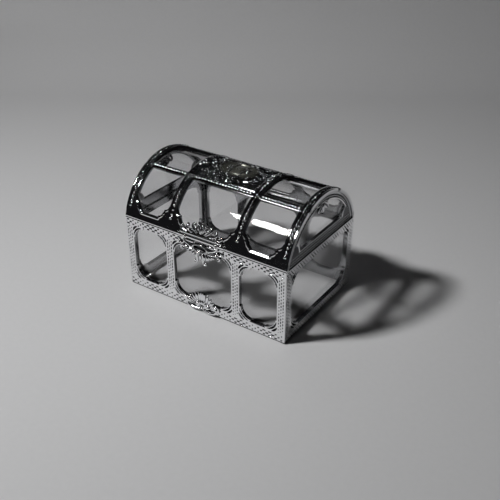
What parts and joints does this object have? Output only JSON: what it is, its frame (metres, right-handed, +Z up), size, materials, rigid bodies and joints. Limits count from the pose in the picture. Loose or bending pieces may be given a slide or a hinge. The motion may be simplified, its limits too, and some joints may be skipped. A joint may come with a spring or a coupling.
{
  "type": "treasure chest trinket box",
  "caption": "Small clear keepsake chest with a bright openwork frame and a vaulted lid that turns on pinned hinges at the back.",
  "frame": {"origin": "centre of the flat underside", "axes": "+X along the length, -Y out of the front where the crest is, +Z up"},
  "size_m": [0.09, 0.0666, 0.0625],
  "materials": {
    "bright_plating": "bright vacuum plating over moulded plastic",
    "clear_plastic": "clear polished polystyrene",
    "tinted_mirror": "smoke-tinted mirror foil on plastic",
    "pin_steel": "drawn steel wire"
  },
  "bodies": {
    "base": {"base_tray": "clear_plastic", "base_front_panel": "bright_plating", "base_back_panel": "bright_plating", "base_left_panel": "bright_plating", "base_right_panel": "bright_plating", "base_crest": "bright_plating", "base_palmette": "bright_plating", "hinge_pin_left": "pin_steel", "hinge_pin_right": "pin_steel"},
    "lid": {"lid_shell": "clear_plastic", "lid_cage": "bright_plating", "lid_left_lunette": "bright_plating", "lid_right_lunette": "bright_plating", "lid_plaque": "bright_plating", "lid_medallion": "tinted_mirror", "lid_crest": "bright_plating", "catch_tongue": "clear_plastic"}
  },
  "joints": [
    {"name": "lid_hinge", "type": "hinge", "parent": "base", "child": "lid", "pos_m": [0, 0.03265, 0.0376], "axis": [-1, 0, 0], "range_deg": [0, 105]}
  ]
}
